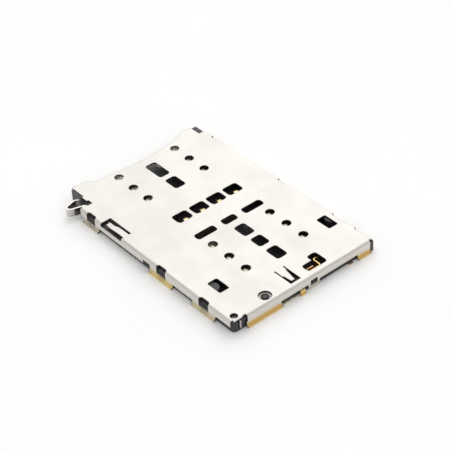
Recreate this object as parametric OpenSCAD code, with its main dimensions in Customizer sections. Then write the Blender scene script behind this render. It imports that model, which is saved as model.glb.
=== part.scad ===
// Tray-type card socket for a circuit board: a stamped shell folded over a moulded base,
// spring contacts for two small cards and a memory card, a card-detect switch,
// and an ejector with a push rod and a lever. Millimetres, board plane at z = 0.
// The card mouth faces -Y, the ejector runs along the +X side.

/* [Shell] */
// Width over the two side walls
shell_w = 18.5; // [18.3:0.1:20]
// Length from the mouth lips to the back wall
shell_l = 28.2; // [28:0.1:30]
// Height of the top face above the board
shell_h = 1.45; // [1.4:0.01:1.6]
// Thickness of the sheet
sheet = 0.15; // [0.12:0.01:0.17]
// Inside radius of the folds
fold_r = 0.1; // [0.06:0.01:0.12]
// Drop of the side walls below the top face
wall_drop = 0.93; // [0.85:0.01:1]
// Drop of the back wall below the top face
back_drop = 0.85; // [0.8:0.01:0.95]
// Reach of the solder feet beyond the walls
foot_out = 0.25; // [0.2:0.01:0.35]
// Inside radius where the feet turn out
foot_r = 0.1; // [0.06:0.01:0.15]

/* [Shell walls] */
// Gap between the ejector corner cut and the side wall behind it
wall_front = 0.05; // [0:0.01:0.1]
// Distance of that wall from the back face
wall_back = 0.45; // [0.4:0.01:0.6]
// Length of the shallow stretch at the back of that wall
wall_end_l = 2.6; // [2.4:0.05:2.7]
// Drop of the shallow stretch below the top face
wall_end_drop = 0.75; // [0.65:0.01:0.85]
// Place of the notch in that wall
wall_notch_y = 0.68; // [0.5:0.02:0.7]
// Length of the notch
wall_notch_l = 1.1; // [0.8:0.05:1.1]
// Drop of the notch's upper edge below the top face
wall_notch_drop = 0.5; // [0.45:0.01:0.6]
// Distance of the far wall from the mouth lips
far_wall_front = 2.0; // [1.8:0.05:2.2]
// Distance of the far wall from the back face
far_wall_back = 0.2; // [0.18:0.01:0.24]
// Distance of the back wall from the far side
back_wall_far = 0.55; // [0.5:0.01:0.57]
// Distance of the back wall from the ejector side
back_wall_near = 1.82; // [1.75:0.01:1.85]
// Width of the relief notches beside the folds at the back corner
notch_w = 0.4; // [0.3:0.01:0.45]
// Depth of those notches
notch_l = 0.05; // [0.03:0.01:0.08]

/* [Feet and hooks] */
// Places of the ejector side feet: from the lips, the middle and the back face
ejector_foot_y = [5.37, 3.03, 4.45]; // [3:0.01:5.4]
// Lengths of those feet
ejector_foot_l = [2.7, 3.6, 3.4]; // [2.6:0.1:3.7]
// Places of the far side feet: from the lips, the middle and the back face
far_foot_y = [3.7, 0.6, 1.9]; // [0.5:0.05:3.8]
// Lengths of those feet
far_foot_l = [2.4, 3.2, 2.2]; // [2:0.1:3.4]
// Places of the back feet, each from its own side
back_foot_x = [3.9, 1.41]; // [1.38:0.01:4]
// Lengths of those feet
back_foot_l = [4.4, 1.68]; // [1.6:0.02:4.5]
// Length of the slots in the side feet
foot_slot_l = 1.1; // [0.8:0.1:1.4]
// Height of those slots
foot_slot_h = 0.1; // [0.08:0.01:0.14]
// Height of the slots above the board
foot_slot_z = 0.22; // [0.2:0.01:0.24]
// Place of the tab on the back wall
back_tab_x = -1.1; // [-1.3:0.05:-1]
// Width of that tab
back_tab_w = 1.5; // [1.3:0.05:1.6]
// Gap between that tab and the board
back_tab_z = 0.05; // [0.03:0.01:0.1]
// Size of the window over the tab
back_tab_win = [0.9, 0.6]; // [0.5:0.05:1]
// Drop of the window below the top face
back_tab_drop = 0.5; // [0.45:0.01:0.55]
// Gap around a hook in its window
hook_gap = 0.05; // [0.03:0.01:0.08]
// Height of a hook
hook_h = 0.5; // [0.42:0.02:0.52]
// Height of a hook's outer edge
hook_edge = 0.12; // [0.08:0.01:0.2]

/* [Mouth] */
// Sideways offset of the mouth's middle
mouth_x = -0.25; // [-0.5:0.05:0]
// Depth of the curved edge behind the lips
mouth_depth = 1.25; // [1.1:0.05:1.5]
// Radius of the curved edge
mouth_r = 29; // [26:1:40]
// Distances of the lips' crests from that middle: ejector side, far side
lip_x = [6.65, 7.2]; // [6.5:0.05:7.3]
// Radii of the lips: ejector side, far side
lip_r = [0.6, 1.6]; // [0.5:0.05:1.8]
// Radius of the blends between the curved edge and the lips
blend_r = 0.6; // [0.4:0.05:0.7]
// Length of the far corner notch
far_notch_l = 1.65; // [1.4:0.05:1.8]
// Width of the far corner notch
far_notch_w = 0.9; // [0.8:0.05:1]

/* [Ejector corner] */
// Distance of the cut edge from the side wall, beside the lip
corner_lip_x = 1.47; // [1.4:0.01:1.55]
// Distance of the cut edge from the side wall, beside the hoop
corner_hoop_x = 1.25; // [1.2:0.01:1.3]
// Length of the step beside the lip
corner_lip_y = 2.1; // [1.9:0.05:2.3]
// Length of the whole corner cut
corner_y = 3.5; // [3.4:0.05:3.6]
// Width of the relief slot behind the corner cut
relief_w = 0.7; // [0.6:0.05:0.75]
// Length of the relief slot behind the corner cut
relief_l = 0.2; // [0.15:0.01:0.3]

/* [Card grid] */
// Centre line of the cards
grid_x = -0.8; // [-1:0.05:-0.6]
// Distance between the two contact columns
column_gap = 7.62; // [7.4:0.02:7.8]
// Pitch of the contact rows
row_pitch = 2.54; // [2.45:0.01:2.6]
// Middle row of the front card, behind the mouth lips
front_card_y = 4.54; // [4.4:0.02:4.7]
// Middle row of the rear card, behind the memory card contacts
rear_card_y = 8.21; // [8.1:0.01:8.4]
// Diameter of the clearance holes over the contacts
hole_d = 1.0; // [0.8:0.05:1.2]

/* [Shell windows] */
// Corner radius of the windows
win_r = 0.3; // [0.2:0.01:0.32]
// Width of the windows over the solder tails
tail_win_w = 1.35; // [1.1:0.05:1.5]
// Lengths of those windows over the rear card rows
rear_win_l = [1.87, 1.6, 1.9]; // [1.2:0.05:2]
// Offsets of those windows from the rear card rows
rear_win_dy = [0.39, 0.27, 0.23]; // [0:0.01:0.4]
// Length and offset of the window over the last front card row
front_win = [2.0, -0.18]; // [-0.3:0.05:2.2]
// Length and offset of the window over the first two front card rows
front_pair_win = [2.75, 0.55]; // [0:0.05:3]
// Width of the windows over the memory card contacts
memory_win_w = 1.85; // [1.7:0.05:1.95]
// Length of the windows over the memory card contacts
memory_win_l = 1.45; // [1.3:0.05:1.6]
// Widths of the slots over the memory card tails
slot_w = [2.55, 1.8, 2.55]; // [1.5:0.05:2.7]
// Pitch of those slots
slot_pitch = 3.125; // [3:0.025:3.2]
// Length of those slots
slot_l = 0.95; // [0.8:0.05:1.1]
// Size of the windows over the tray detents
detent_win = [1.2, 1.95]; // [1:0.05:2.1]
// Length of the windows cut through the side folds
fold_win_l = 1.45; // [1.3:0.05:1.6]
// Depth of those windows into the top plate
fold_win_in = 0.35; // [0.3:0.01:0.4]
// Drop of their lower edge below the top face
fold_win_drop = 0.98; // [0.95:0.01:1.05]
// Place of the plain window in the far fold, in front of the back face
far_spring_y = 4.7; // [4.6:0.05:4.8]
// Length of the plain window in the far fold
far_spring_win_l = 2.4; // [2:0.1:2.6]
// Middle of the two windows over the tray detents
detent_win_x = -0.5; // [-0.6:0.05:-0.4]
// Distance between those windows
detent_win_gap = 14.4; // [14.2:0.05:14.5]
// Distance of those windows from the back face
detent_win_y = 5.2; // [5:0.05:5.4]
// Corner radius of the small windows
small_r = 0.18; // [0.1:0.01:0.2]
// Size of the window over the switch blade
switch_win = [2.5, 1.1]; // [1:0.05:2.6]
// Size of the same window's leg
switch_leg = [1.15, 0.75]; // [0.7:0.05:1.2]
// Distance of the switch window's end from the blade's leg
switch_edge = 0.63; // [0.55:0.01:0.65]
// Distance of the switch window from the back face
switch_win_y = 0.7; // [0.65:0.01:0.75]
// Distance of the sight hole over the rod end from the side and the back face
sight_in = 0.8; // [0.75:0.01:0.85]

/* [Shell tongues] */
// Distance of the rod tongue's slot from the mouth lips
rod_slot_y = 7.1; // [7:0.05:7.3]
// Length of that slot
rod_slot_l = 3.5; // [3.3:0.05:3.6]
// Distance of the slot's inner edge from the side face
rod_slot_in = 1.32; // [1.28:0.01:1.4]
// Drop of the slot into the side wall
rod_slot_drop = 0.35; // [0.32:0.01:0.4]
// Distance of the rod tongue's inner edge from the side face
rod_tongue_in = 1.07; // [1.02:0.01:1.1]
// Width of the rod tongue at its root
rod_tongue_w = 0.72; // [0.66:0.01:0.78]
// Length of the rod tongue
rod_tongue_l = 2.95; // [2.7:0.05:3.1]
// Distances from its root where the rod tongue bends down and up again
rod_tongue_bends = [1.03, 2.36]; // [0.9:0.01:2.45]
// Radii of those two bends
rod_tongue_r = [1, 0.4]; // [0.3:0.05:1.2]
// Distance from its root where the inner edge starts to taper
rod_tongue_taper = 1.77; // [1.6:0.01:1.9]
// Distance of the back tongue's middle from the ejector side
back_tongue_in = 8.46; // [8.4:0.01:8.5]
// Length of the back tongue
back_tongue_l = 2.03; // [1.95:0.01:2.1]
// Width of the window around the back tongue
back_win_w = 1.28; // [1.2:0.02:1.3]
// Distance of that window from the back face
back_win_y = 0.54; // [0.5:0.01:0.6]
// Gap between the tongue's tip and the window's edge
back_tip_gap = 0.34; // [0.3:0.01:0.38]
// Width of the tongue's tip
back_tip_w = 0.44; // [0.35:0.01:0.5]
// Sideways offset of the tip towards the ejector side
back_tip_dx = 0.06; // [0:0.01:0.1]
// Distances of the shoulder and of the taper from the tongue's root
back_shoulder = [1.03, 0.4]; // [0.3:0.01:1.2]
// Widths of the steps at the shoulder and at the taper
back_step = [0.12, 0.09]; // [0.05:0.01:0.15]
// Drop of the back tongue at its tip
back_tongue_drop = 0.05; // [0.03:0.01:0.12]
// Width of the slits beside the tongue's root
slit_w = 0.12; // [0.08:0.01:0.14]
// Radius of the round ends of those slits
slit_r = 0.1; // [0.08:0.01:0.12]

/* [Base] */
// Gap between the base and the shell walls
base_fit = 0.05; // [0.03:0.01:0.08]
// Gap between the rails and the top plate
lid_fit = 0.02; // [0:0.01:0.04]
// Distance of the base from the mouth lips
base_in = 0.3; // [0.25:0.01:0.35]
// Distance of the side rails from the mouth lips
rail_in = 4.35; // [4.2:0.05:4.5]
// Thickness of the floor
floor_t = 0.4; // [0.37:0.01:0.45]
// Width of the far tray rail
far_rail_w = 0.4; // [0.35:0.01:0.5]
// Width of the tray rail on the ejector side
inner_rail_w = 0.9; // [0.8:0.02:1]
// Height of the rail outside the push rod
outer_rail_h = 1.1; // [1:0.01:1.12]
// Radius of the tray detents
detent_r = 0.72; // [0.6:0.02:0.8]
// Place of the tray detents in front of the back wall
detent_y = 5.6; // [5.4:0.05:5.8]
// Depth of the back bar
back_bar = 0.75; // [0.72:0.01:0.8]
// Depth of the low bar behind the lever
lever_bar = 0.2; // [0.15:0.01:0.22]
// Gap between the back bar and the top plate
bar_drop = 0.12; // [0.1:0.01:0.15]
// Radius of the corner behind the push rod
base_r = 0.4; // [0.3:0.05:0.45]
// Corner radius of the floor windows
floor_win_r = 0.15; // [0.1:0.01:0.2]
// Gap around the contacts where they pass through the base
contact_fit = 0.02; // [0.01:0.005:0.03]

/* [Contacts] */
// Thickness of the contact strip
strip = 0.12; // [0.1:0.01:0.13]
// Drop of the small card contacts' crowns below the top face
sim_crown = 0.25; // [0.2:0.01:0.35]
// Drop of the memory card contacts' crowns below the top face
memory_crown = 0.4; // [0.35:0.01:0.5]
// Root width of a small card contact
sim_root_w = 1.0; // [0.8:0.05:1.1]
// Width of a small card contact at the start of its beam
sim_waist_w = 0.8; // [0.7:0.02:0.9]
// Tip width of a small card contact
sim_tip_w = 0.7; // [0.5:0.02:0.8]
// Width of the floor windows of the small card contacts
sim_win_w = 1.3; // [1.2:0.05:1.4]
// Reach of the floor windows beyond the crowns of those contacts
sim_win_out = 0.75; // [0.7:0.05:0.85]
// Board tail of a small card contact, from the card's centre line
sim_tail = [0.12, 0.36]; // [0.1:0.01:0.4]
// Root of a small card contact in the base, from the card's centre line
sim_root = [0.6, 1.3]; // [0.58:0.02:1.4]
// Reach of the tip beyond the crown
sim_tip = 0.42; // [0.36:0.02:0.46]
// Drop of a contact tip below its crown
tip_drop = 0.24; // [0.2:0.01:0.3]
// Bend radius of the contact tails
tail_r = 0.1; // [0.08:0.01:0.12]
// Bend radius where the contact beams rise
beam_r = 0.5; // [0.3:0.05:0.7]
// Bend radius of the crowns
crown_r = 0.5; // [0.4:0.02:0.55]
// Sideways offset of the windows over the memory card contacts
memory_dx = -0.18; // [-0.22:0.01:-0.1]
// Root of a memory card contact in the base, behind its crown
memory_root = [1.7, 3.13]; // [1.6:0.01:3.3]
// Length of a memory card contact's board tail
memory_tail = 0.45; // [0.4:0.01:0.5]
// Length of the step from the board tail up to the root
memory_step = 0.3; // [0.26:0.01:0.34]
// Reach of the tip beyond the crown
memory_tip = 0.38; // [0.34:0.01:0.42]
// Reach of the floor windows beyond the crowns of those contacts
memory_out = 0.5; // [0.45:0.01:0.6]
// Gap on each side of a memory card contact in its floor window
memory_side = 0.1; // [0.08:0.01:0.14]
// Pitch of the memory card contacts
memory_pitch = 1.13; // [1.1:0.01:1.14]
// Width of a memory card contact
memory_w = 0.54; // [0.48:0.02:0.6]
// Tip width of a memory card contact
memory_tip_w = 0.26; // [0.2:0.02:0.3]
// Place of the memory card contact row
memory_y = -2.03; // [-2.1:0.01:-1.95]

/* [Card detect switch] */
// Distance of the blade's root from the ejector side
blade_in = 8.75; // [8.7:0.01:8.8]
// Distance of the blade's leg from its root
blade_l = 3.42; // [3.3:0.01:3.5]
// Reach of the blade's nose towards the mouth
blade_reach = 1.2; // [1.1:0.05:1.25]
// Sideways reach of the blade's nose from its leg
blade_hook = 0.3; // [0.28:0.01:0.4]
// Size of the lead at the blade's end
blade_lead = [0.42, 0.16]; // [0.12:0.01:0.45]
// Bend radius of the blade
blade_r = 0.24; // [0.16:0.01:0.25]
// Width of the post in front of the blade's root
post_w = 1.0; // [0.8:0.05:1.1]
// Depth of that post
post_l = 0.45; // [0.4:0.05:0.5]
// Distance of the fixed terminal from the blade's root
terminal_in = 1.65; // [1.6:0.05:1.7]
// Width of its leg
terminal_w = 0.5; // [0.45:0.01:0.55]
// Width of its head
terminal_head = 1.35; // [1.2:0.05:1.4]
// Length of its board tail
terminal_tail = 0.5; // [0.45:0.05:0.6]
// Gap between the blade and the terminal
switch_gap = 0.28; // [0.2:0.01:0.32]
// Gap between the blade and the floor
blade_lift = 0.1; // [0.05:0.01:0.15]
// Width of the blade's board lead
lead_w = 0.62; // [0.56:0.02:0.7]
// Reach of the lead behind the back wall before it turns down
lead_out = 0.12; // [0.1:0.01:0.16]
// Length of the lead's foot
lead_foot = 0.16; // [0.14:0.01:0.2]
// Height of the blade's root above the floor
lead_h = 0.45; // [0.4:0.01:0.5]
// Reaches of the solder tabs behind the back wall, from the far side
tail_out = [0.14, 0.03, 0.03]; // [0.02:0.01:0.16]
// Distance of the far solder tab from the far side
tab_far = 3.2; // [3.15:0.01:3.25]
// Distances of the other solder tabs from the ejector side
tab_near = [7.93, 6.85]; // [6.8:0.01:7.95]
// Widths of the solder tabs, from the far side
tab_w = [0.5, 0.45, 0.7]; // [0.4:0.02:0.75]
// Height of the solder tabs
tab_h = 0.55; // [0.5:0.01:0.6]
// Distance of the solder tabs from the base's back face
tab_in = 0.4; // [0.35:0.01:0.45]

/* [Ejector] */
// Thickness of the push rod strip
rod_t = 0.2; // [0.16:0.01:0.22]
// Height of the push rod strip
rod_h = 0.9; // [0.85:0.01:0.92]
// Distance of the rod centre from the side wall
rod_in = 1.0; // [0.98:0.01:1.03]
// Gap on each side of the rod in its channel
rod_fit = 0.1; // [0.06:0.01:0.12]
// Gap between the rod and the tongue that holds it down
rod_tongue_fit = 0.03; // [0.02:0.005:0.05]
// Gap between the rod's end and the back face
rod_end = 0.1; // [0.05:0.01:0.15]
// Gap between the rod and the top plate
rod_drop = 0.15; // [0.14:0.01:0.17]
// Gap under the rod in its channel
rod_lift = 0.05; // [0.04:0.01:0.08]
// Distance of the rod's bend in front of the corner cut's edge
rod_bend = 0.35; // [0.3:0.01:0.4]
// Radius of that bend
rod_bend_r = 0.35; // [0.3:0.01:0.4]
// Reach of the hoop beyond the side wall
hoop_out = 0.8; // [0.75:0.01:0.85]
// Distance of the hoop's middle behind the mouth lips
hoop_y = 2.3; // [2.25:0.01:2.35]
// Width of the hoop's outer end
hoop_w = 0.6; // [0.58:0.01:0.65]
// Bend radius of the hoop's outer end
hoop_r = 0.36; // [0.3:0.01:0.37]
// Last bend of the hoop, inside the side wall and in front of the hoop's middle
hoop_bend = [0.6, 0.68]; // [0.55:0.01:0.72]
// Radius of the hoop's last bend
hoop_bend_r = 0.4; // [0.3:0.01:0.45]
// End of the hoop, inside the side wall and in front of the hoop's middle
hoop_tip = [1.0, 0.38]; // [0.34:0.01:1.02]
// Travel of the push rod
rod_travel = 1.5; // [1.2:0.05:1.6]
// Distance of the lever pivot from the ejector side
pivot_in = 4.88; // [4.7:0.02:5]
// Distance of the lever pivot from the back wall
pivot_back = 1.0; // [0.97:0.01:1.05]
// Diameter of the pivot post
pivot_d = 0.78; // [0.7:0.02:0.8]
// Diameter of the pip on the pivot post
pip_d = 0.5; // [0.4:0.02:0.6]
// Running gap around the pivot post
pivot_fit = 0.03; // [0.02:0.005:0.05]
// Thickness of the lever
lever_t = 0.25; // [0.2:0.01:0.26]
// Radius of the lever around its pivot
lever_ring_r = 0.76; // [0.7:0.01:0.78]
// Play above and below the lever at its pivot
lever_play = 0.02; // [0.01:0.005:0.03]
// Gap under the lever's arms
lever_lift = 0.08; // [0.06:0.01:0.1]
// Widths of the rod arm at the pivot and the nose
rod_arm_w = [1.1, 0.5]; // [0.45:0.05:1.15]
// Widths of the tray arm at the pivot and the nose
tray_arm_w = [1.2, 0.6]; // [0.5:0.05:1.25]
// Radius of the lever's two noses
nose_r = 0.35; // [0.3:0.01:0.36]
// Gap on each side of the lever nose in the rod notch
nose_fit = 0.06; // [0.05:0.005:0.1]
// Gap between the lever nose and the base
nose_room = 0.1; // [0.08:0.01:0.15]
// Place of the tray nose relative to the pivot
tray_nose = [-2.45, -1.1]; // [-3:0.05:-1]
// Diameter of the drawn boss over the pivot
boss_d = 1.37; // [1.3:0.01:1.4]
// Diameter of the hole in the boss
boss_hole_d = 0.91; // [0.85:0.01:0.95]
// Depth of the drawn boss
boss_depth = 0.17; // [0.15:0.01:0.18]
// Thickness of the drawn boss
boss_t = 0.12; // [0.1:0.01:0.13]
// Diameter of the sight hole over the rod end
sight_d = 0.78; // [0.7:0.02:0.85]

/* [Hidden] */
$fn = 36;
// Steps in a strip's bend and in a window's corner
bend_steps = 4;
corner_steps = 3;
// Spare length of a cut and of a join
cut = 0.5;
lap = 0.1;
hw = shell_w / 2;
hl = shell_l / 2;
z_under = shell_h - sheet;
z_mid = shell_h - sheet / 2;
flat_x = hw - sheet - fold_r;
flat_y = hl - sheet - fold_r;
wall_z = shell_h - wall_drop;
back_z = shell_h - back_drop;

// Card rows
front_y = -hl + front_card_y;
rear_y = memory_y + rear_card_y;
rows = [for (y = [front_y, rear_y], k = [-1, 0, 1]) y + k * row_pitch];

// Fold windows, feet and the ends of the walls
ejector_feet = [-hl + ejector_foot_y[0], ejector_foot_y[1], hl - ejector_foot_y[2]];
far_feet = [-hl + far_foot_y[0], far_foot_y[1], hl - far_foot_y[2]];
back_feet = [hw - back_foot_x[0], -hw + back_foot_x[1]];
ejector_wall = [-hl + corner_y + wall_front, hl - wall_back];
far_wall = [-hl + far_wall_front, hl - far_wall_back];
back_wall = [-hw + back_wall_far, hw - back_wall_near];

// Base
base_x = hw - sheet - base_fit;
base_y = hl - sheet - base_fit;
base_front = -hl + base_in;
rail_z = z_under - lid_fit;
rod_x = hw - rod_in;
channel = [rod_x - rod_t / 2 - rod_fit, rod_x + rod_t / 2 + rod_fit];
inner_rail_x = channel[0] - inner_rail_w;
far_rail_x = -base_x + far_rail_w;
rail_front = -hl + rail_in;
bar_y = base_y - back_bar;
hook_out = sheet - contact_fit;

// Contacts
root_z = strip * 1.5;
roof_z = 2 * strip + contact_fit;
memory_root_y = [memory_y + memory_root[0], memory_y + memory_root[1]];
memory_tail_y = memory_root_y[1] + lap + slot_l / 2;
blade_y = bar_y - strip / 2;
terminal_y = blade_y - strip - switch_gap;
lead_z = floor_t + strip / 2;
groove_h = 1.5 * strip + contact_fit;
tab_y = base_y - tab_in;
tabs = [-hw + tab_far, hw - tab_near[0], hw - tab_near[1]];
blade_root_x = hw - blade_in;
blade_x = blade_root_x - blade_l;
terminal_x = blade_root_x - terminal_in;

// Ejector
pivot_x = hw - pivot_in;
pivot_y = hl - pivot_back;
boss_z = z_under - boss_depth;
lever_z = boss_z - lever_play - lever_t;
lever_floor = lever_z - lever_lift;
rod_top = z_under - rod_drop;
rod_z = rod_top - rod_h;
blade_z = [floor_t + blade_lift, rod_top - rod_lift];

// Back tongue
back_tongue_x = hw - back_tongue_in;
back_tip_y = hl - back_win_y - back_tip_gap;
back_root_y = back_tip_y - back_tongue_l;
bar_end = back_tongue_x + lap;

sims = len(rows) * 2;
memories = 8;

// Flat outlines

function ray(a) = [cos(a), sin(a)];
function arc(c, r, a0, a1, n) = [for (k = [0 : n]) c + r * ray(a0 + (a1 - a0) * k / n)];
function back_to_front(v) = [for (k = [len(v) - 1 : -1 : 0]) v[k]];

module box2(x0, x1, y0, y1) {
    translate([x0, y0]) square([x1 - x0, y1 - y0]);
}

module round_box(x0, x1, y0, y1, r) {
    polygon(concat(
        arc([x0 + r, y0 + r], r, 180, 270, corner_steps), arc([x1 - r, y0 + r], r, 270, 360, corner_steps),
        arc([x1 - r, y1 - r], r, 0, 90, corner_steps), arc([x0 + r, y1 - r], r, 90, 180, corner_steps)
    ));
}

module round_window(c, size, r = win_r) {
    round_box(c[0] - size[0] / 2, c[0] + size[0] / 2, c[1] - size[1] / 2, c[1] + size[1] / 2, r);
}

// Tapered bar between two points, its width given at each end
module bar2(p, q, wp, wq) {
    d = (q - p) / norm(q - p);
    n = [-d[1], d[0]] / 2;
    polygon([p - n * wp, q - n * wq, q + n * wq, p + n * wp]);
}

// Strip bent along a path of straight runs, with a bend radius for each inner point

function heading(p, i) = atan2(p[i + 1][1] - p[i][1], p[i + 1][0] - p[i][0]);
function wrap(a) = a > 180 ? a - 360 : a < -180 ? a + 360 : a;
function turn(p, i) = wrap(heading(p, i) - heading(p, i - 1));
function bend_side(p, i) = turn(p, i) > 0 ? 1 : -1;
function bend_centre(p, r, i) =
    let (a = heading(p, i - 1), s = bend_side(p, i))
    p[i] - ray(a) * r[i - 1] * tan(abs(turn(p, i)) / 2) + ray(a + s * 90) * r[i - 1];
function bend_arc(p, r, i, o) =
    let (a0 = heading(p, i - 1) - bend_side(p, i) * 90)
    arc(bend_centre(p, r, i), r[i - 1] - bend_side(p, i) * o, a0, a0 + turn(p, i), bend_steps);
function strip_side(p, r, o) = concat(
    [p[0] + o * ray(heading(p, 0) + 90)],
    [for (i = [1 : len(p) - 2]) each bend_arc(p, r, i, o)],
    [p[len(p) - 1] + o * ray(heading(p, len(p) - 2) + 90)]
);

module bent_strip(p, r, t) {
    polygon(concat(strip_side(p, r, -t / 2), back_to_front(strip_side(p, r, t / 2))));
}

// Profile in (distance, z), swept along a length across it
module along_x(x0, x1) {
    translate([x0, 0, 0]) rotate([90, 0, 90]) linear_extrude(x1 - x0) children();
}

module along_y(y0, y1) {
    translate([0, y1, 0]) rotate([90, 0, 0]) linear_extrude(y1 - y0) children();
}

module raise(z0, z1) {
    translate([0, 0, z0]) linear_extrude(z1 - z0) children();
}

// Top plate of the shell

function circles_meet(p, rp, q, rq, side) =
    let (d = norm(q - p), u = (q - p) / d, a = (d * d + rp * rp - rq * rq) / (2 * d))
    p + u * a + side * sqrt(rp * rp - a * a) * [-u[1], u[0]];

// Half of the mouth edge: a wide arc, blended into the lip, whose arc runs on past its crest
function mouth_half(crest, r, past) =
    let (o = [0, -hl + mouth_depth - mouth_r], lip = [crest, -hl + r],
        blend = circles_meet(o, mouth_r - blend_r, lip, blend_r + r, 1),
        a = atan2(blend[1] - o[1], blend[0] - o[0]), b = atan2(lip[1] - blend[1], lip[0] - blend[0]))
    concat(arc(o, mouth_r, 90, a, 12), arc(blend, blend_r, a, b, 6),
        arc(lip, r, 180 + b, 270 + asin(past / r), 6), [[crest + past, -hl - cut]]);

module mouth_cut() {
    past = hw + mouth_x - far_notch_w - lip_x[1] + lap;
    translate([mouth_x, 0]) polygon(concat(mouth_half(lip_x[0], lip_r[0], 0),
        back_to_front([for (q = mouth_half(lip_x[1], lip_r[1], past)) [-q[0], q[1]]])));
}

module plate_outline() {
    lip_x = hw - corner_lip_x;
    hoop_x = hw - corner_hoop_x;
    far_x = -hw + far_notch_w;
    polygon([
        [far_x, -hl], [lip_x, -hl],
        [lip_x, -hl + corner_lip_y], [hoop_x, -hl + corner_lip_y],
        [hoop_x, -hl + corner_y], [flat_x, -hl + corner_y],
        [flat_x, flat_y], [-flat_x, flat_y],
        [-flat_x, -hl + far_notch_l], [far_x, -hl + far_notch_l]
    ]);
}

module card_windows() {
    for (s = [-1, 1], y = rows) translate([grid_x + s * column_gap / 2, y]) circle(d = hole_d);
    for (k = [0 : 2]) round_window([grid_x, rows[k + 3] + rear_win_dy[k]], [tail_win_w, rear_win_l[k]]);
    round_window([grid_x, rows[2] + front_win[1]], [tail_win_w, front_win[0]]);
    round_window([grid_x, rows[1] - row_pitch / 2 + front_pair_win[1]], [tail_win_w, front_pair_win[0]]);
    for (k = [-1.5 : 1.5])
        round_window([grid_x + memory_dx + k * 2 * memory_pitch, memory_y], [memory_win_w, memory_win_l]);
    for (k = [-1 : 1]) round_window([grid_x + k * slot_pitch, memory_tail_y], [slot_w[k + 1], slot_l]);
}

module switch_window() {
    x = blade_x - switch_edge;
    y = hl - switch_win_y;
    round_box(x, x + switch_win[0], y - switch_win[1], y, win_r);
    round_box(x, x + switch_leg[0], y - switch_win[1] - switch_leg[1], y, win_r);
}

module back_tongue_window() {
    x0 = back_tongue_x - back_win_w / 2;
    x1 = back_tongue_x + back_win_w / 2;
    box2(x0, x1, back_root_y, back_tip_y + back_tip_gap);
    for (x = [x0 + slit_w / 2, x1 - slit_w / 2]) translate([x, back_root_y]) circle(slit_r);
}

module rod_tongue_slot() {
    box2(hw - rod_slot_in, hw + cut, -hl + rod_slot_y, -hl + rod_slot_y + rod_slot_l);
}

// Slots that free the ends of the folds
module fold_reliefs() {
    box2(hw - corner_lip_x, hw - corner_lip_x + relief_w, -hl + corner_y - cut, -hl + corner_y + relief_l);
    box2(back_wall[1], back_wall[1] + notch_w, flat_y - notch_l, hl + cut);
    box2(flat_x - notch_l, hw + cut, ejector_wall[1], ejector_wall[1] + notch_w);
}

module plate_cuts() {
    mouth_cut();
    card_windows();
    switch_window();
    back_tongue_window();
    fold_reliefs();
    for (s = [-1, 1])
        round_window([detent_win_x + s * detent_win_gap / 2, hl - detent_win_y], detent_win, small_r);
    translate([pivot_x, pivot_y]) circle(d = boss_d);
    translate([hw - sight_in, hl - sight_in]) circle(d = sight_d);
}

// Folded walls and feet, drawn for a wall whose outer face is at distance x

module fold_profile(x, low) {
    bent_strip([[x - sheet - fold_r - lap, z_mid], [x - sheet / 2, z_mid], [x - sheet / 2, low]],
        [fold_r + sheet / 2], sheet);
}

module foot_profile(x, top) {
    bent_strip([[x - sheet / 2, top + lap], [x - sheet / 2, sheet / 2], [x + foot_out, sheet / 2]],
        [foot_r + sheet / 2], sheet);
}

module foot(x, place, length, top) {
    along_y(place - length / 2, place + length / 2) foot_profile(x, top);
}

module foot_slot(x, place) {
    along_y(place - foot_slot_l / 2, place + foot_slot_l / 2)
        box2(x - cut, x + foot_out + cut, foot_slot_z, foot_slot_z + foot_slot_h);
}

module fold_window(x, place, length) {
    raise(shell_h - fold_win_drop, shell_h + cut)
        round_box(x - fold_win_in, x + cut, place - length / 2, place + length / 2, win_r);
}

// Cut away the wall below a given drop from the top face
module wall_cut(x, y0, y1, drop) {
    along_y(y0, y1) box2(x - sheet - lap, x + cut, -cut, shell_h - drop);
}

module ejector_side() {
    along_y(ejector_wall[0], ejector_wall[1]) fold_profile(hw, wall_z);
    for (k = [0 : 2]) foot(hw, ejector_feet[k], ejector_foot_l[k], wall_z);
}

module ejector_side_cuts() {
    for (y = ejector_feet) {
        fold_window(hw, y, fold_win_l);
        foot_slot(hw, y);
    }
    raise(shell_h - rod_slot_drop, shell_h + cut) rod_tongue_slot();
    wall_cut(hw, wall_notch_y - wall_notch_l / 2, wall_notch_y + wall_notch_l / 2, wall_notch_drop);
    wall_cut(hw, hl - wall_end_l, hl, wall_end_drop);
}

module far_side() {
    along_y(-far_wall[1], -far_wall[0]) fold_profile(hw, wall_z);
    for (k = [0 : 2]) foot(hw, -far_feet[k], far_foot_l[k], wall_z);
}

module far_side_cuts() {
    for (y = far_feet) {
        fold_window(hw, -y, fold_win_l);
        foot_slot(hw, -y);
    }
    fold_window(hw, far_spring_y - hl, far_spring_win_l);
}

module back_side() {
    along_y(back_wall[0], back_wall[1]) fold_profile(hl, back_z);
    along_y(back_tab_x - back_tab_w / 2, back_tab_x + back_tab_w / 2)
        box2(hl - sheet, hl, back_tab_z, back_z + lap);
    for (k = [0, 1]) foot(hl, back_feet[k], back_foot_l[k], back_z);
}

module back_side_cuts() {
    top = shell_h - back_tab_drop;
    along_y(back_tab_x - back_tab_win[0] / 2, back_tab_x + back_tab_win[0] / 2)
        box2(hl - sheet - lap, hl + cut, top - back_tab_win[1], top);
}

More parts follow.
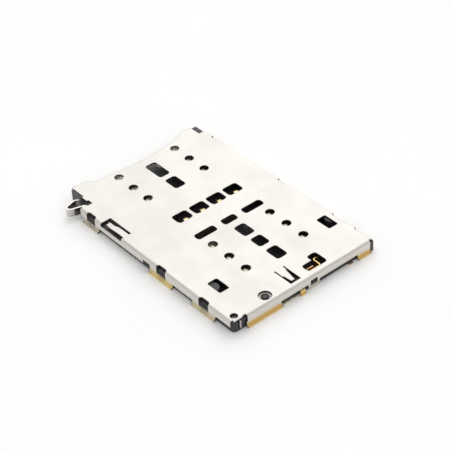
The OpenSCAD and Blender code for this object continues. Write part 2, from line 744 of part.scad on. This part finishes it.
// Spring tongue that holds the push rod down
module rod_tongue() {
    y0 = -hl + rod_slot_y + rod_slot_l;
    tip = y0 - rod_tongue_l;
    x0 = hw - rod_tongue_in;
    x1 = x0 + rod_tongue_w;
    low = z_mid - rod_drop + rod_tongue_fit;
    intersection() {
        along_x(x0, x1) bent_strip([[y0 + lap, z_mid], [y0 - rod_tongue_bends[0], z_mid],
            [y0 - rod_tongue_bends[1], low], [tip, z_mid]], rod_tongue_r, sheet);
        raise(0, shell_h + cut) polygon([[x0, y0 + cut], [x0, y0 - rod_tongue_taper],
            [x0 + rod_tongue_w / 2, tip - cut], [x1, tip - cut], [x1, y0 + cut]]);
    }
}

// Spring tongue over the back of the tray
module back_tongue() {
    x0 = back_tongue_x - back_win_w / 2 + slit_w;
    x1 = back_tongue_x + back_win_w / 2 - slit_w;
    tip = back_tongue_x + back_tip_dx;
    intersection() {
        along_x(x0, x1) bent_strip([[back_root_y - lap, z_mid], [back_root_y + back_shoulder[1], z_mid],
            [back_tip_y, z_mid - back_tongue_drop]], [1], sheet);
        raise(0, shell_h + cut) polygon([
            [x0, back_root_y - lap], [x0, back_root_y + back_shoulder[1]],
            [x0 + back_step[1], back_root_y + back_shoulder[1]],
            [tip - back_tip_w / 2, back_tip_y], [tip + back_tip_w / 2, back_tip_y],
            [x1 - back_step[0], back_root_y + back_shoulder[0]], [x1, back_root_y + back_shoulder[0]],
            [x1, back_root_y - lap]
        ]);
    }
}

// Drawn boss whose floor carries the top of the pivot post
module pivot_boss() {
    translate([pivot_x, pivot_y, 0]) rotate_extrude() {
        box2(boss_d / 2, boss_d / 2 + boss_t, boss_z, z_under + lap);
        box2(boss_hole_d / 2, boss_d / 2 + lap, boss_z, boss_z + boss_t);
    }
}

module shell() {
    color("gainsboro") union() {
        difference() {
            union() {
                raise(z_under, shell_h) plate_outline();
                ejector_side();
                rotate(180) far_side();
                mirror([1, -1, 0]) back_side();
            }
            raise(z_under - lap, shell_h + cut) plate_cuts();
            ejector_side_cuts();
            rotate(180) far_side_cuts();
            mirror([1, -1, 0]) back_side_cuts();
        }
        rod_tongue();
        back_tongue();
        pivot_boss();
    }
}

// Moulded base

module hook(x, place, length, low) {
    out = x + base_fit + hook_out;
    along_y(place - length / 2, place + length / 2)
        polygon([[x - lap, low], [out, low], [out, low + hook_edge], [x - lap, low + hook_h]]);
}

module side_hook(x, place) {
    hook(x, place, fold_win_l - 2 * hook_gap, shell_h - fold_win_drop + hook_gap);
}

module base_floor() {
    out = column_gap / 2 + sim_win_out;
    difference() {
        union() {
            box2(-base_x, channel[0], base_front, base_y);
            box2(channel[0] - cut, base_x, rail_front, base_y);
        }
        for (y = rows, s = [-1, 1]) round_window([grid_x + s * (sim_root[1] + out) / 2, y],
            [out - sim_root[1], sim_win_w], floor_win_r);
        for (i = [1 : memories]) round_box(
            memory_x(i) - memory_w / 2 - memory_side, memory_x(i) + memory_w / 2 + memory_side,
            memory_y - memory_out, memory_root_y[0] + lap, floor_win_r);
    }
}

module rails() {
    raise(0, rail_z) {
        box2(-base_x, far_rail_x, -hl + far_notch_l + lap, base_y);
        box2(inner_rail_x, channel[0], base_front, pivot_y - rod_travel - 3 * nose_r);
        for (x = [inner_rail_x, far_rail_x]) intersection() {
            translate([x, hl - detent_y]) circle(detent_r);
            box2(far_rail_x - lap, inner_rail_x + lap, 0, hl);
        }
    }
    raise(0, outer_rail_h) box2(channel[1], base_x, rail_front, base_y);
    // Mouth posts that stand in the corner notches of the plate
    raise(0, shell_h - lid_fit) {
        box2(-hw + base_in, -hw + far_notch_w - base_fit, base_front, -hl + far_notch_l - base_fit);
        box2(hw - corner_lip_x + base_fit, channel[0], base_front, -hl + corner_lip_y - base_fit);
    }
}

module back_bars() {
    raise(0, z_under - bar_drop) {
        box2(-base_x, bar_end, bar_y, base_y);
        box2(pivot_x + rod_arm_w[0], channel[0], base_y - lever_bar, base_y);
    }
    raise(0, lever_floor) box2(bar_end - cut, channel[0], bar_y, base_y);
    // Post in front of the switch blade
    raise(0, blade_z[1]) box2(blade_root_x - post_w, blade_root_x, bar_y - strip - contact_fit - post_l,
        bar_y - strip - contact_fit);
    // Post that fills the open corner of the shell
    raise(0, z_under - bar_drop) {
        box2(-base_x, back_wall[0] - base_fit, base_y - lap, hl - base_fit);
        box2(-hw + base_fit, lap - base_x, far_wall[1] + base_fit, hl - base_fit);
    }
    // Seat and post of the lever
    translate([pivot_x, pivot_y, 0]) {
        cylinder(r = lever_ring_r, h = lever_z - lever_play);
        cylinder(d = pivot_d, h = boss_z);
        cylinder(d = pip_d, h = z_under);
    }
}

// Passages of the contacts, each lying on its passage's floor, and the pockets of their board tails
module sim_passages() {
    for (s = [-1, 1], y = rows) translate([grid_x + s * (sim_root[0] + sim_root[1]) / 2, y, 0])
        raise(strip, roof_z)
            square([sim_root[1] - sim_root[0] + 2 * lap, sim_root_w + 2 * contact_fit], center = true);
    for (y = rows) raise(-cut, roof_z)
        round_window([grid_x, y], [2 * (sim_root[0] + lap), sim_win_w], floor_win_r);
}

module memory_passages() {
    for (i = [1 : memories]) raise(strip, roof_z) box2(
        memory_x(i) - memory_w / 2 - contact_fit, memory_x(i) + memory_w / 2 + contact_fit,
        memory_root_y[0], memory_root_y[1] + 2 * lap);
    raise(-cut, roof_z)
        round_window([grid_x, memory_tail_y], [memories * memory_pitch, slot_l], floor_win_r);
}

// Slot for a strip on edge, whose back face touches the slot, and a groove for its board tail
module edge_slot(x, y, w, top, tail) {
    side = w / 2 + contact_fit;
    raise(-cut, top) box2(x - side, x + side, y - strip / 2 - contact_fit, y + strip / 2);
    raise(-cut, groove_h) box2(x - side, x + side, min(y, tail), max(y, tail));
}

// Groove in the back bar for the blade's lead, which lies on the floor
module lead_groove() {
    side = lead_w / 2 + contact_fit;
    raise(floor_t, floor_t + groove_h)
        box2(blade_root_x - side, blade_root_x + side, blade_y - strip / 2 - contact_fit, hl);
}

module base() {
    color("dimgray") difference() {
        union() {
            raise(0, floor_t) base_floor();
            rails();
            back_bars();
            for (y = ejector_feet) side_hook(base_x, y);
            rotate(180) for (y = far_feet) side_hook(base_x, -y);
            mirror([1, -1, 0]) hook(base_y, back_tab_x, back_tab_win[0] - 2 * hook_gap,
                shell_h - back_tab_drop - back_tab_win[1] + hook_gap);
        }
        raise(-cut, shell_h) translate([base_x - base_r, base_y - base_r]) difference() {
            square(base_r + cut);
            circle(base_r);
        }
        // Channel of the push rod
        raise(rod_z - rod_lift, shell_h) box2(channel[0], channel[1], -hl, hl);
        // Room for the lever's nose beside the channel
        raise(lever_floor, shell_h) box2(channel[0], rod_x + nose_r + nose_room,
            pivot_y - rod_travel - nose_r - nose_room, pivot_y + nose_r + nose_room);
        sim_passages();
        memory_passages();
        for (i = [0 : len(tabs) - 1]) edge_slot(tabs[i], tab_y, tab_w[i], tab_h, hl);
        lead_groove();
        edge_slot(terminal_x, terminal_y, terminal_w, floor_t + cut, terminal_y - terminal_tail - cut);
    }
}

// Contacts

function memory_x(i) = grid_x + (i - (memories + 1) / 2) * memory_pitch;

// Side view of a contact: board tail, step up, root in the base, beam, crown and tip
module contact_profile(tail, step, root, crown, drop, tip) {
    z = shell_h - drop - strip / 2;
    bent_strip([[tail[0], strip / 2], [tail[1], strip / 2], [step, root_z], [root, root_z],
        [crown, z], [crown + tip, z - tip_drop]], [tail_r, tail_r, beam_r, crown_r], strip);
}

module sim_contact(i) {
    side = i > len(rows) ? 1 : -1;
    y = rows[(i - 1) % len(rows)];
    reach = column_gap / 2;
    waist = sim_root[1] + lap;
    color("goldenrod") translate([grid_x, y, 0]) mirror([side < 0 ? 1 : 0, 0, 0]) intersection() {
        along_y(-sim_root_w, sim_root_w)
            contact_profile(sim_tail, sim_root[0], waist, reach, sim_crown, sim_tip);
        raise(0, shell_h) {
            bar2([0, 0], [waist, 0], sim_root_w, sim_root_w);
            bar2([waist, 0], [reach + sim_tip + lap, 0], sim_waist_w, sim_tip_w);
        }
    }
}

module memory_contact(i) {
    end = memory_root_y[1] + slot_l;
    reach = end - memory_y;
    waist = reach - strip / 2;
    color("gold") translate([memory_x(i), end, 0]) rotate(-90) intersection() {
        along_y(-memory_w, memory_w) contact_profile([0, memory_tail], memory_tail + memory_step,
            end - memory_root_y[0], reach, memory_crown, memory_tip);
        raise(0, shell_h) {
            bar2([0, 0], [waist, 0], memory_w, memory_w);
            bar2([waist, 0], [reach + memory_tip + lap, 0], memory_w, memory_tip_w);
        }
    }
}

module detect_blade() {
    nose = blade_y - blade_reach;
    hook_x = blade_x - blade_hook;
    lead_x = blade_root_x - lead_w / 2;
    lead_y = hl + lead_out;
    color("gold") union() {
        along_x(lead_x, lead_x + lead_w) bent_strip([[blade_y, floor_t + lead_h], [blade_y, lead_z],
            [lead_y, lead_z], [lead_y, strip / 2], [lead_y + lead_foot, strip / 2]],
            [strip, tail_r, tail_r], strip);
        raise(blade_z[0], blade_z[1]) bent_strip([[lead_x + lap, blade_y], [blade_x, blade_y],
            [blade_x, nose + lap], [hook_x, nose], [hook_x - blade_lead[0], nose + blade_lead[1]]],
            [blade_r, blade_r, blade_r], strip);
    }
}

module detect_terminal() {
    x0 = terminal_x - terminal_w / 2;
    x1 = terminal_x + terminal_w / 2;
    color("peru") union() {
        along_y(terminal_y - strip / 2, terminal_y + strip / 2) {
            box2(x0, x1, 0, blade_z[1]);
            box2(x1 - terminal_head, x1, blade_z[0], blade_z[1]);
        }
        raise(0, strip) box2(x0, x1, terminal_y - terminal_tail, terminal_y);
    }
}

module solder_tab(i) {
    end = hl + tail_out[i - 1];
    color("gold") along_x(tabs[i - 1] - tab_w[i - 1] / 2, tabs[i - 1] + tab_w[i - 1] / 2)
        bent_strip([[tab_y, tab_h], [tab_y, strip / 2], [end, strip / 2]], [strip], strip);
}

// Ejector

module eject_rod() {
    bend_y = -hl + corner_y - rod_bend;
    hoop_x = hw + hoop_out;
    middle = -hl + hoop_y;
    notch = nose_r + nose_fit;
    color("silver") difference() {
        raise(rod_z, rod_top) bent_strip([[rod_x, hl - rod_end], [rod_x, bend_y],
            [hoop_x, middle + hoop_w / 2], [hoop_x, middle - hoop_w / 2],
            [hw - hoop_bend[0], middle - hoop_bend[1]], [hw - hoop_tip[0], middle - hoop_tip[1]]],
            [rod_bend_r, hoop_r, hoop_r, hoop_bend_r], rod_t);
        raise(lever_floor, shell_h) box2(rod_x - cut, rod_x + cut, pivot_y - notch, pivot_y + notch);
    }
}

module eject_lever() {
    arm = [rod_x - pivot_x, 0];
    color("lightgray") translate([pivot_x, pivot_y, 0]) raise(lever_z, lever_z + lever_t) difference() {
        union() {
            circle(lever_ring_r);
            bar2([0, 0], arm, rod_arm_w[0], rod_arm_w[1]);
            translate(arm) circle(nose_r);
            bar2([0, 0], tray_nose, tray_arm_w[0], tray_arm_w[1]);
            translate(tray_nose) circle(nose_r);
        }
        circle(pivot_d / 2 + pivot_fit);
    }
}

shell();
base();
detect_blade();
detect_terminal();
eject_rod();
eject_lever();
for (i = [1 : sims]) sim_contact(i);
for (i = [1 : memories]) memory_contact(i);
for (i = [1 : len(tabs)]) solder_tab(i);
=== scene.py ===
import math

import bpy
from mathutils import Matrix, Vector


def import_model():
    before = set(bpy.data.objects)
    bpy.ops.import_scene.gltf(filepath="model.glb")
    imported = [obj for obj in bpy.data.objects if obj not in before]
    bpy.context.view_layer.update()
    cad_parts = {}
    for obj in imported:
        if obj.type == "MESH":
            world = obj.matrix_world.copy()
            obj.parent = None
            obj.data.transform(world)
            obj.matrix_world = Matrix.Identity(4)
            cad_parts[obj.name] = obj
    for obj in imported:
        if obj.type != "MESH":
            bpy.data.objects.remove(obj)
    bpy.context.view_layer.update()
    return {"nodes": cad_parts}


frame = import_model()
nodes = frame["nodes"]
MM = 0.001

# Colours of the sheet, its plated feet, the resin and the strip
SILVER = (0.92, 0.895, 0.855)
SILVER_DARK = (0.895, 0.87, 0.83)
# Painted shade: the silver of the walls, darker for the shade they stand in
SILVER_WALL_SHADE = (0.84, 0.815, 0.775)
# Dark of the cut faces, partly their stamped finish and partly painted shade; also painted as shade on level
# faces part way up and along sharp edges
EDGE_AND_SHADE = (0.17, 0.16, 0.15)
SILVER_WARM = (0.8, 0.74, 0.62)
GOLD = (0.95, 0.72, 0.34)
GOLD_PALE = (0.98, 0.83, 0.47)
CREAM = (0.9, 0.83, 0.62)
OLIVE = (0.68, 0.65, 0.54)
RESIN = (0.042, 0.04, 0.045)
RESIN_PALE = (0.058, 0.056, 0.062)
STEEL = (0.6, 0.575, 0.54)
STEEL_DARK = (0.48, 0.46, 0.43)
# Cut faces of the strip, light partly from their finish and partly as painted highlight
STEEL_CUT_HIGHLIGHT = (0.82, 0.79, 0.75)
# Painted shade for the inner faces of the rod's loop
LOOP_SHADE = (0.13, 0.11, 0.1)

# Both ends of each blend from one finish to the next, in millimetres in the part's frame
WALL_TOP_Z = (1.2, 1.4)
PLATING_TOP_Z = (0.46, 0.56)
FRONT_FOOT_END_Y = (-5, -3)
MIDDLE_FOOT_END_Y = (6, 7)
BACK_WALL_Y = (13.7, 13.9)
BACK_TAB_START_X = (-2.1, -1.9)
BACK_TAB_END_X = (-0.3, -0.1)
PLATE_SIDE_X = (8.93, 8.97)
PLATE_BACK_Y = (13.78, 13.82)
LEDGE_LOW_Z = (0.5, 0.6)
LEDGE_HIGH_Z = (1.1, 1.2)
LOOP_INNER_Y = (-11.9, -11.8)
LOOP_SIDE_X = (9.5, 9.62)
LOOP_OUTER_Y = (-11, -10)

# Both ends of each blend by how far a face is turned to an axis, as a part of its normal
OFF_THE_WALL = (0.05, 0.2)
NEARLY_LEVEL = (0.93, 0.985)
LEDGE_UP = (0.8, 0.95)
LEVEL = (0.9, 0.95)
CUT_ACROSS = (0.35, 0.55)
LOOP_INWARD = (0.7, 0.9)
STRIP_EDGE = (0.5, 0.8)

# Stretches of the noise that the tones and the roughness run over
TONE_SPAN = (0.3, 0.75)
NARROW_SPAN = (0.3, 0.7)
PLATING_SPAN = (0.35, 0.7)
ROUGH_SPAN = (0.3, 0.8)

# Roughness of each finish, and what the grain and the places add to it
SHEET_ROUGH = (0.56, 0.6)
SHEET_GRAIN = 0.08
BEND_DULLER = 0.2
FEET_BRIGHTER = 0.28
RESIN_ROUGH = (0.38, 0.58)
RESIN_IOR = 1.52
PLATING_SPREAD = 0.1
PLATING_GRAIN = 0.06
STEEL_ROUGH = (0.1, 0.16)
STEEL_GRAIN = 0.05
CUT_DULLER = 0.3

# Width in millimetres and strength of the dark line painted as shade along the sheet's edges, and the wave of
# the plating's upper limit
RIM_WIDTH = 0.11
RIM_SHADE_STRENGTH = 0.8
PLATING_WAVE = 0.08

# Stage in metres, and the photo's frame
FLOOR_HALF = 3.0
FLOOR_GAP = 0.02 * MM
PAPER_SHADE = (0.93, 0.95)
DAYLIGHT = (1.0, 0.995, 0.985, 1.0)
STUDIO_SPAN = (-0.4, 0.8)
CLIP_START = 0.01
CLIP_END = 10.0
SENSOR_MM = 36.0
PHOTO_PX = 450.0

# Ways of a ramp, the noise's and the bevel's settings, and how well the true and the bevelled normal agree
RISE = (0.0, 1.0)
FALL = (1.0, 0.0)
NOISE_ROUGH = 0.55
BEVEL_SAMPLES = 6
RIM_AGREEMENT = (0.9, 0.99)


# Node helpers

class Nodes:
    """Short calls that add nodes to a tree."""

    def __init__(self, tree):
        self.tree = tree

    def new(self, kind):
        return self.tree.nodes.new("ShaderNode" + kind)

    def link(self, a, b):
        self.tree.links.new(a, b)

    def value(self, socket, v):
        if isinstance(v, bpy.types.NodeSocket):
            self.link(v, socket)
        else:
            socket.default_value = v

    def math(self, op, a, b=0.0):
        n = self.new("Math")
        n.operation = op
        self.value(n.inputs[0], a)
        self.value(n.inputs[1], b)
        return n.outputs[0]

    def plus(self, a, b):
        return self.math("ADD", a, b)

    def times(self, a, b):
        return self.math("MULTIPLY", a, b)

    def larger(self, a, b):
        return self.math("MAXIMUM", a, b)

    def absolute(self, v):
        return self.math("ABSOLUTE", v)

    def weigh(self, a, b, share):
        """The share of a, with b as the rest."""
        return self.plus(self.times(a, share), self.times(b, 1.0 - share))

    def ramp(self, v, limits, out=RISE, smooth=True):
        n = self.new("MapRange")
        n.interpolation_type = "SMOOTHSTEP" if smooth else "LINEAR"
        self.value(n.inputs[0], v)
        for i, limit in enumerate((*limits, *out)):
            n.inputs[i + 1].default_value = limit
        return n.outputs[0]

    def zone(self, v, limits_mm, out=RISE):
        """A ramp along a coordinate, with its limits in millimetres."""
        return self.ramp(v, [limit * MM for limit in limits_mm], out)

    def dot(self, a, b):
        n = self.new("VectorMath")
        n.operation = "DOT_PRODUCT"
        self.value(n.inputs[0], a)
        self.value(n.inputs[1], b)
        return n.outputs["Value"]

    def split(self, vector):
        n = self.new("SeparateXYZ")
        self.link(vector, n.inputs[0])
        return n.outputs


class Mat(Nodes):
    """A node material with a Principled shader."""

    def __init__(self, name):
        self.material = bpy.data.materials.new(name)
        self.material.use_nodes = True
        super().__init__(self.material.node_tree)
        self.tree.nodes.clear()
        self.out = self.new("OutputMaterial")
        self.bsdf = self.new("BsdfPrincipled")
        self.link(self.bsdf.outputs[0], self.out.inputs["Surface"])
        self.pos = self.new("TexCoord").outputs["Object"]

    def set(self, **inputs):
        for name, v in inputs.items():
            self.value(self.bsdf.inputs[name.replace("_", " ")], v)

    def mix(self, f, a, b):
        n = self.new("Mix")
        n.data_type = "RGBA"
        self.value(n.inputs[0], f)
        for socket, c in ((n.inputs[6], a), (n.inputs[7], b)):
            self.value(socket, c if isinstance(c, bpy.types.NodeSocket) else (*c, 1.0))
        return n.outputs[2]

    def xyz(self):
        return self.split(self.pos)

    def true_normal(self):
        return self.new("NewGeometry").outputs["True Normal"]

    def normal(self):
        """The true normal's parts along X, Y and Z."""
        return self.split(self.true_normal())

    def bevel(self, radius_mm):
        n = self.new("Bevel")
        n.samples = BEVEL_SAMPLES
        n.inputs["Radius"].default_value = radius_mm * MM
        return n.outputs[0]

    def rim(self, radius_mm):
        """1 close to a sharp edge, 0 away from it."""
        return self.ramp(self.dot(self.bevel(radius_mm), self.true_normal()), RIM_AGREEMENT, FALL)

    def noise(self, size_mm, detail=3.0, stretch=(1, 1, 1)):
        m = self.new("Mapping")
        self.link(self.pos, m.inputs[0])
        for i in range(3):
            m.inputs["Scale"].default_value[i] = 1.0 / (size_mm * MM * stretch[i])
        n = self.new("TexNoise")
        n.inputs["Scale"].default_value = 1.0
        n.inputs["Detail"].default_value = detail
        n.inputs["Roughness"].default_value = NOISE_ROUGH
        self.link(m.outputs[0], n.inputs["Vector"])
        return n.outputs[0]

    def relief(self, height, depth_mm, edge_mm):
        """Bump from a height, over edges that are softened by edge_mm."""
        n = self.new("Bump")
        n.inputs["Strength"].default_value = 1.0
        n.inputs["Distance"].default_value = depth_mm * MM
        self.link(height, n.inputs["Height"])
        self.link(self.bevel(edge_mm), n.inputs["Normal"])
        self.set(Normal=n.outputs[0])


# Materials

def shell_sheet():
    """Satin stainless sheet, with painted shade on the walls, cut edges dark partly from their finish and
    partly from painted shade, and plated solder feet.
    """
    m = Mat("shell_sheet")
    x, y, z = m.xyz()
    nx, ny, up = m.normal()
    cloud = m.noise(size_mm=3.5)
    grain = m.noise(size_mm=0.06, detail=2.0, stretch=(1, 14, 1))

    # Silver, with painted shade making it a little darker on the walls
    silver = m.mix(m.ramp(cloud, TONE_SPAN), SILVER, SILVER_DARK)
    silver = m.mix(m.zone(z, WALL_TOP_Z, FALL), silver, SILVER_WALL_SHADE)

    # Plating, by the places of the feet from the mouth to the back wall and its tab
    gold = m.mix(m.zone(y, FRONT_FOOT_END_Y), SILVER_WARM, GOLD_PALE)
    gold = m.mix(m.zone(y, MIDDLE_FOOT_END_Y), gold, CREAM)
    back = m.zone(y, BACK_WALL_Y)
    gold = m.mix(back, gold, GOLD)
    tab = m.times(m.zone(x, BACK_TAB_START_X), m.zone(x, BACK_TAB_END_X, FALL))
    gold = m.mix(m.times(tab, back), gold, OLIVE)
    plated = m.zone(m.plus(z, m.times(cloud, PLATING_WAVE * MM)), PLATING_TOP_Z, FALL)

    # Cut faces inside the plate dark partly from their stamped finish and partly from painted shade; level
    # faces half way up the walls and a line along sharp edges painted dark as shade
    in_x = m.zone(m.absolute(x), PLATE_SIDE_X, FALL)
    in_y = m.zone(y, PLATE_BACK_Y, FALL)
    across = m.larger(m.times(m.absolute(nx), in_x), m.times(m.absolute(ny), in_y))
    ledge_shade = m.times(m.ramp(up, LEDGE_UP), m.zone(z, LEDGE_LOW_Z))
    ledge_shade = m.times(ledge_shade, m.zone(z, LEDGE_HIGH_Z, FALL))
    rim = m.times(m.rim(RIM_WIDTH), m.ramp(m.absolute(up), LEVEL))
    rim = m.times(rim, m.times(in_x, in_y))
    cut_and_shade = m.larger(m.ramp(across, CUT_ACROSS), m.larger(ledge_shade, m.times(rim, RIM_SHADE_STRENGTH)))
    m.set(Base_Color=m.mix(cut_and_shade, m.mix(plated, silver, gold), EDGE_AND_SHADE), Metallic=1.0)

    # Duller on the bends, brighter on the plating
    bend = m.times(m.ramp(up, NEARLY_LEVEL, FALL), m.ramp(up, OFF_THE_WALL))
    rough = m.plus(m.ramp(cloud, ROUGH_SPAN, SHEET_ROUGH), m.times(bend, BEND_DULLER))
    rough = m.math("SUBTRACT", rough, m.times(plated, FEET_BRIGHTER))
    m.set(Roughness=m.plus(rough, m.times(grain, SHEET_GRAIN)))
    fine = m.noise(size_mm=0.12, detail=2.0)
    m.relief(m.weigh(grain, fine, share=0.5), depth_mm=0.0015, edge_mm=0.04)
    return m.material


def black_resin():
    """Glass-filled moulded plastic, charcoal with a slight violet cast."""
    m = Mat("black_resin")
    fine = m.noise(size_mm=0.05)
    cloud = m.noise(size_mm=1.2, detail=2.0)
    m.set(Base_Color=m.mix(m.ramp(cloud, TONE_SPAN), RESIN, RESIN_PALE))
    m.set(Roughness=m.ramp(fine, ROUGH_SPAN, RESIN_ROUGH), IOR=RESIN_IOR)
    m.relief(m.weigh(fine, cloud, share=0.7), depth_mm=0.006, edge_mm=0.03)
    return m.material


def plating(name, bright, dull, rough):
    """Plated copper strip, with fine rolling marks."""
    m = Mat(name)
    cloud = m.noise(size_mm=0.6)
    grain = m.noise(size_mm=0.04, detail=2.0, stretch=(6, 6, 1))
    m.set(Base_Color=m.mix(m.ramp(cloud, PLATING_SPAN), bright, dull), Metallic=1.0)
    worn = m.ramp(cloud, ROUGH_SPAN, (rough, rough + PLATING_SPREAD))
    m.set(Roughness=m.plus(worn, m.times(grain, PLATING_GRAIN)))
    m.relief(m.weigh(grain, cloud, share=0.6), depth_mm=0.001, edge_mm=0.02)
    return m.material


def steel_strip():
    """Bare stainless strip of the rod and the lever, with cut edges bright partly from their finish and
    partly as painted highlight, and painted shade inside the loop.
    """
    m = Mat("steel_strip")
    x, y = m.xyz()[:2]
    ny, up = m.normal()[1:]
    cloud = m.noise(size_mm=1.5)
    grain = m.noise(size_mm=0.05, detail=2.0, stretch=(1, 12, 1))
    inner = m.zone(y, LOOP_INNER_Y, FALL)
    outer = m.times(m.zone(x, LOOP_SIDE_X, FALL), m.zone(y, LOOP_OUTER_Y, FALL))
    # Painted shade on the inner faces of the loop
    loop = m.times(m.ramp(ny, LOOP_INWARD), m.larger(inner, outer))
    # Top and bottom cut faces lighter than the sides, partly from their finish and partly as painted
    # highlight, with the sides left greyer as painted shade
    cut = m.ramp(m.absolute(up), STRIP_EDGE)
    steel = m.mix(m.ramp(cloud, NARROW_SPAN), STEEL, STEEL_DARK)
    steel = m.mix(cut, steel, STEEL_CUT_HIGHLIGHT)
    m.set(Base_Color=m.mix(loop, steel, LOOP_SHADE), Metallic=1.0)
    rough = m.plus(m.ramp(cloud, ROUGH_SPAN, STEEL_ROUGH), m.times(cut, CUT_DULLER))
    m.set(Roughness=m.plus(rough, m.times(grain, STEEL_GRAIN)))
    m.relief(m.weigh(grain, cloud, share=0.6), depth_mm=0.0015, edge_mm=0.03)
    return m.material


# One material for each node, or for each kind of numbered node
MATERIALS = {
    "shell": shell_sheet(),
    "base": black_resin(),
    "eject_rod": steel_strip(),
    "detect_blade": plating("blade_gold", bright=(0.95, 0.72, 0.33), dull=(0.88, 0.6, 0.22), rough=0.25),
    "detect_terminal": plating("terminal_copper", bright=(0.85, 0.5, 0.26), dull=(0.72, 0.38, 0.18),
                               rough=0.3),
    "memory_contact": plating("contact_gold", bright=(0.96, 0.8, 0.48), dull=(0.9, 0.68, 0.34), rough=0.25),
    "sim_contact": plating("contact_nickel", bright=(0.78, 0.7, 0.58), dull=(0.66, 0.56, 0.42), rough=0.3),
    "solder_tab": plating("tab_gold", bright=(0.92, 0.88, 0.72), dull=(0.85, 0.79, 0.6), rough=0.5),
    "solder_tab_1": plating("tab_copper", bright=(0.96, 0.74, 0.56), dull=(0.88, 0.62, 0.44), rough=0.4),
}
MATERIALS["eject_lever"] = MATERIALS["eject_rod"]

for name, obj in nodes.items():
    kind = name if name in MATERIALS else name.rsplit("_", 1)[0]
    obj.data.materials.clear()
    obj.data.materials.append(MATERIALS[kind])


# Floor, light and camera

def floor(gain):
    """White paper. The gain brings its lit part to white in view and in reflections, and the shadow stays."""
    corners = [(x * FLOOR_HALF, y * FLOOR_HALF, 0) for x, y in ((-1, -1), (1, -1), (1, 1), (-1, 1))]
    mesh = bpy.data.meshes.new("floor")
    mesh.from_pydata(corners, [], [(0, 1, 2, 3)])
    obj = bpy.data.objects.new("floor", mesh)
    bpy.context.scene.collection.objects.link(obj)
    obj.location.z = -FLOOR_GAP
    m = Mat("floor_paper")
    paper = m.new("BsdfDiffuse")
    path = m.new("LightPath")
    seen = m.larger(path.outputs["Is Camera Ray"], path.outputs["Is Transmission Ray"])
    seen = m.larger(seen, path.outputs["Is Glossy Ray"])
    shade = m.ramp(m.noise(size_mm=40), NARROW_SPAN, PAPER_SHADE)
    m.link(m.times(shade, m.ramp(seen, RISE, (1.0, gain), smooth=False)), paper.inputs["Color"])
    m.link(paper.outputs[0], m.out.inputs["Surface"])
    m.tree.nodes.remove(m.bsdf)
    mesh.materials.append(m.material)


def world(toward, dark, bright):
    """A studio that is brighter towards one direction and white where the camera sees it."""
    studio = bpy.data.worlds.new("studio")
    bpy.context.scene.world = studio
    studio.use_nodes = True
    w = Nodes(studio.node_tree)
    background = w.tree.nodes["Background"]
    side = w.dot(w.new("TexCoord").outputs["Generated"], Vector(toward).normalized())
    level = w.ramp(side, STUDIO_SPAN, (dark, bright))
    seen = w.larger(w.new("LightPath").outputs["Is Camera Ray"], level)
    w.link(seen, background.inputs["Strength"])
    background.inputs["Color"].default_value = DAYLIGHT


def sun(name, toward, strength, angle):
    """A wide soft light from the direction given, in the part's frame."""
    data = bpy.data.lights.new(name, "SUN")
    data.energy = strength
    data.angle = math.radians(angle)
    obj = bpy.data.objects.new(name, data)
    bpy.context.scene.collection.objects.link(obj)
    obj.rotation_mode = "QUATERNION"
    obj.rotation_quaternion = Vector(toward).to_track_quat("Z", "Y")


def camera(azimuth, elevation, roll, distance, target, focal_px):
    """The photo's camera, as solved from the holes of the plate: angles in degrees, lengths in metres."""
    a, e, k = (math.radians(v) for v in (azimuth, elevation, roll))
    back = Vector((math.sin(a) * math.cos(e), -math.cos(a) * math.cos(e), math.sin(e)))
    right = (-back).cross(Vector((0, 0, 1))).normalized()
    up = right.cross(-back)
    right, up = math.cos(k) * right + math.sin(k) * up, math.cos(k) * up - math.sin(k) * right
    data = bpy.data.cameras.new("camera")
    data.sensor_width = SENSOR_MM
    data.lens = focal_px / PHOTO_PX * SENSOR_MM
    data.clip_start = CLIP_START
    data.clip_end = CLIP_END
    obj = bpy.data.objects.new("camera", data)
    bpy.context.scene.collection.objects.link(obj)
    turn = Matrix((right, up, back)).transposed().to_4x4()
    obj.matrix_world = Matrix.Translation(Vector(target) + back * distance) @ turn
    bpy.context.scene.camera = obj


floor(gain=1.52)
world(toward=(-0.4, -0.5, 0.77), dark=0.36, bright=0.62)
sun("key", toward=(-0.6, -0.5, 0.62), strength=0.72, angle=50)
camera(azimuth=142.319, elevation=38.151, roll=-3.857, distance=0.14918,
       target=(0.000126, 0.002097, 0.00145), focal_px=1465.4)
bpy.context.scene.view_settings.view_transform = "Standard"
